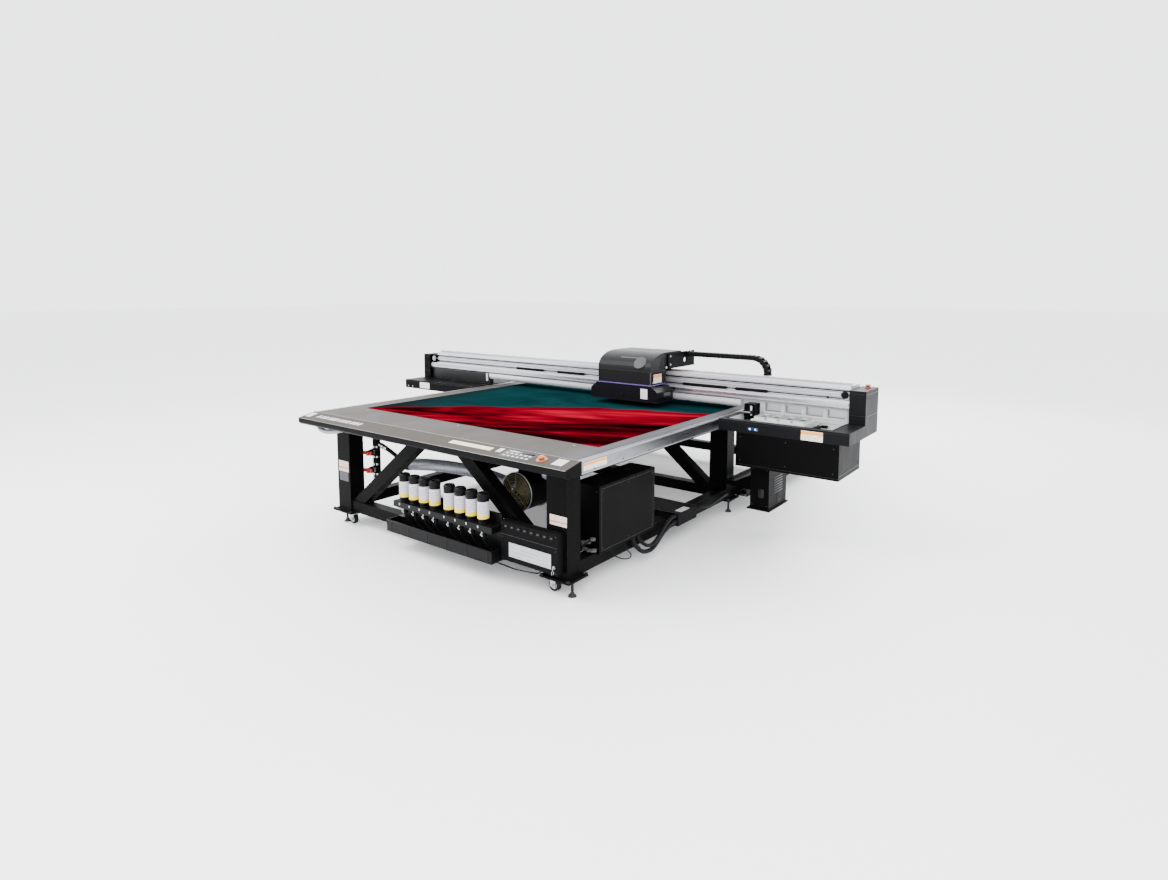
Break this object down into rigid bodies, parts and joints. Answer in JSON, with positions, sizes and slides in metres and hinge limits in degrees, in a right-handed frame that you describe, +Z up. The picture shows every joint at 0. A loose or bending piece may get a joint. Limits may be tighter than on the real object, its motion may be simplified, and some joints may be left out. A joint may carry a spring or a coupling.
{
  "type": "flatbed uv printer",
  "caption": "Large flatbed printer: vacuum table on a welded frame, travelling gantry with print carriage, maintenance station, ink supply and blower.",
  "frame": {"origin": "centre of the outline on the floor", "axes": "+X to the operator's right along the gantry, +Y from the operator panel to the rear of the table, +Z up"},
  "size_m": [4.4, 3.9, 1.248],
  "materials": {
    "black_frame": "satin black powder coat",
    "table_plate": "anodised taupe grey",
    "brushed_cover": "brushed, lengthwise grain",
    "panel_grey": "warm grey texture paint",
    "rail_steel": "ground steel",
    "black_cover": "fine texture black paint",
    "electronics": "board and case",
    "dark_cover": "black texture paint",
    "black_plastic": "moulded black",
    "hose": "ribbed silver grey hose",
    "machined_steel": "machined",
    "beam_aluminium": "clear anodised extrusion",
    "charcoal_cover": "charcoal texture paint",
    "pale_liner": "pale grey",
    "black_rubber": "black rubber",
    "chain_plastic": "glass filled nylon",
    "violet_trim": "violet strip",
    "skirt_plastic": "violet black",
    "carriage_metal": "dark grey",
    "lamp_housing": "black",
    "head_metal": "plated",
    "stop_red": "orange red",
    "stop_orange": "orange",
    "valve_red": "red dipped",
    "impeller_bronze": "bronze",
    "bottle_plastic": "black bottle with a white and yellow label",
    "caster_steel": "zinc plated",
    "caster_tyre": "hard rubber"
  },
  "bodies": {
    "root": {"front_frame": "black_frame", "inner_frames": "black_frame", "side_frames": "black_frame", "vacuum_table": "table_plate", "side_covers": "brushed_cover", "control_panel": "panel_grey", "y_rails": "rail_steel", "control_cabinet": "black_cover", "cabinet_electronics": "electronics", "power_box": "dark_cover", "cabinet_cables": "chain_plastic", "ink_tray": "black_plastic", "ink_control_box": "dark_cover", "blower_housing": "dark_cover", "vacuum_hoses": "hose", "valve_manifold": "dark_cover", "levelling_feet": "machined_steel", "table_chain": "chain_plastic"},
    "gantry": {"gantry_beam": "beam_aluminium", "beam_rails": "rail_steel", "beam_lower_covers": "beam_aluminium", "left_tower": "black_cover", "right_tower": "charcoal_cover", "left_arm": "black_cover", "station_body": "charcoal_cover", "station_tray": "pale_liner", "station_cover": "black_cover", "drive_box": "black_cover", "gantry_trucks": "machined_steel", "x_belt": "black_rubber", "x_motor": "machined_steel", "chain_tray": "dark_cover", "cable_chain": "chain_plastic", "wiper_housing": "black_cover"},
    "carriage": {"carriage_cover": "charcoal_cover", "carriage_trim": "violet_trim", "carriage_skirt": "skirt_plastic", "carriage_frame": "carriage_metal", "uv_lamps": "lamp_housing"},
    "head_unit": {"print_heads": "head_metal"},
    "wiper": {"wiper_blade": "black_rubber"},
    "caps": {"cap_unit": "pale_liner"},
    "left_stop": {"left_stop_button": "stop_red"},
    "right_stop": {"right_stop_button": "stop_red"},
    "panel_stop": {"panel_stop_button": "stop_orange"},
    "upper_handle": {"upper_valve_handle": "valve_red"},
    "lower_handle": {"lower_valve_handle": "valve_red"},
    "impeller": {"blower_impeller": "impeller_bronze"},
    "drive_pulley": {"drive_pulley": "machined_steel"},
    "idler_pulley": {"idler_pulley": "machined_steel"},
    "left_bottles": {"ink_bottles_left": "bottle_plastic"},
    "right_bottles": {"ink_bottles_right": "bottle_plastic"},
    "caster_1": {"caster_fork_1": "caster_steel"},
    "wheel_1": {"caster_wheel_1": "caster_tyre"},
    "caster_2": {"caster_fork_2": "caster_steel"},
    "wheel_2": {"caster_wheel_2": "caster_tyre"},
    "caster_3": {"caster_fork_3": "caster_steel"},
    "wheel_3": {"caster_wheel_3": "caster_tyre"},
    "caster_4": {"caster_fork_4": "caster_steel"},
    "wheel_4": {"caster_wheel_4": "caster_tyre"}
  },
  "joints": [
    {"name": "gantry_travel", "type": "slide", "parent": "root", "child": "gantry", "axis": [0, 1, 0], "range_m": [-1.45, 1.6], "deforming": ["table_chain"]},
    {"name": "carriage_travel", "type": "slide", "parent": "gantry", "child": "carriage", "axis": [1, 0, 0], "range_m": [-2.2, 1.3], "deforming": ["cable_chain"]},
    {"name": "head_lift", "type": "slide", "parent": "carriage", "child": "head_unit", "axis": [0, 0, 1], "range_m": [0, 0.05]},
    {"name": "wiper_stroke", "type": "slide", "parent": "gantry", "child": "wiper", "axis": [0, -1, 0], "range_m": [0, 0.2]},
    {"name": "cap_lift", "type": "slide", "parent": "gantry", "child": "caps", "axis": [0, 0, 1], "range_m": [0, 0.012]},
    {"name": "left_stop_push", "type": "slide", "parent": "gantry", "child": "left_stop", "axis": [0, 0, -1], "range_m": [0, 0.0035], "stiffness_N_per_m": 900, "springref_m": -0.002},
    {"name": "right_stop_push", "type": "slide", "parent": "gantry", "child": "right_stop", "axis": [0, 0, -1], "range_m": [0, 0.0035], "stiffness_N_per_m": 900, "springref_m": -0.002},
    {"name": "panel_stop_push", "type": "slide", "parent": "root", "child": "panel_stop", "axis": [0, 0.2031, -0.9792], "range_m": [0, 0.0035], "stiffness_N_per_m": 900, "springref_m": -0.002},
    {"name": "upper_valve_turn", "type": "hinge", "parent": "root", "child": "upper_handle", "pos_m": [-0.84, -1.63, 0.54], "axis": [0, 1, 0], "range_deg": [0, 90]},
    {"name": "lower_valve_turn", "type": "hinge", "parent": "root", "child": "lower_handle", "pos_m": [-0.84, -1.63, 0.41], "axis": [0, 1, 0], "range_deg": [0, 90]},
    {"name": "blower_spin", "type": "hinge", "parent": "root", "child": "impeller", "pos_m": [0.5, -1.4, 0.45], "axis": [0, 1, 0], "continuous": true},
    {"name": "drive_pulley_spin", "type": "hinge", "parent": "gantry", "child": "drive_pulley", "pos_m": [-2.06, 0.05, 1.035], "axis": [0, 1, 0], "range_deg": [-3000, 5000]},
    {"name": "idler_pulley_spin", "type": "hinge", "parent": "gantry", "child": "idler_pulley", "pos_m": [2.05, 0.05, 1.035], "axis": [0, 1, 0], "range_deg": [-3000, 5000]},
    {"name": "left_bottles_lift", "type": "slide", "parent": "root", "child": "left_bottles", "axis": [0, 0, 1], "range_m": [0, 0.12]},
    {"name": "right_bottles_lift", "type": "slide", "parent": "root", "child": "right_bottles", "axis": [0, 0, 1], "range_m": [0, 0.12]},
    {"name": "caster_1_swivel", "type": "hinge", "parent": "root", "child": "caster_1", "pos_m": [1.012, -1.685, 0.09], "axis": [0, 0, 1], "continuous": true},
    {"name": "wheel_1_roll", "type": "hinge", "parent": "caster_1", "child": "wheel_1", "pos_m": [0.99, -1.685, 0.0375], "axis": [0, 1, 0], "continuous": true},
    {"name": "caster_2_swivel", "type": "hinge", "parent": "root", "child": "caster_2", "pos_m": [-0.942, -1.685, 0.09], "axis": [0, 0, 1], "continuous": true},
    {"name": "wheel_2_roll", "type": "hinge", "parent": "caster_2", "child": "wheel_2", "pos_m": [-0.964, -1.685, 0.0375], "axis": [0, 1, 0], "continuous": true},
    {"name": "caster_3_swivel", "type": "hinge", "parent": "root", "child": "caster_3", "pos_m": [1.012, 1.685, 0.09], "axis": [0, 0, 1], "continuous": true},
    {"name": "wheel_3_roll", "type": "hinge", "parent": "caster_3", "child": "wheel_3", "pos_m": [0.99, 1.685, 0.0375], "axis": [0, 1, 0], "continuous": true},
    {"name": "caster_4_swivel", "type": "hinge", "parent": "root", "child": "caster_4", "pos_m": [-0.942, 1.685, 0.09], "axis": [0, 0, 1], "continuous": true},
    {"name": "wheel_4_roll", "type": "hinge", "parent": "caster_4", "child": "wheel_4", "pos_m": [-0.964, 1.685, 0.0375], "axis": [0, 1, 0], "continuous": true}
  ],
  "couplings": [
    {"joint": "drive_pulley_spin", "follows": "carriage_travel", "rad_per_m": -38.76},
    {"joint": "idler_pulley_spin", "follows": "carriage_travel", "rad_per_m": -38.76}
  ]
}
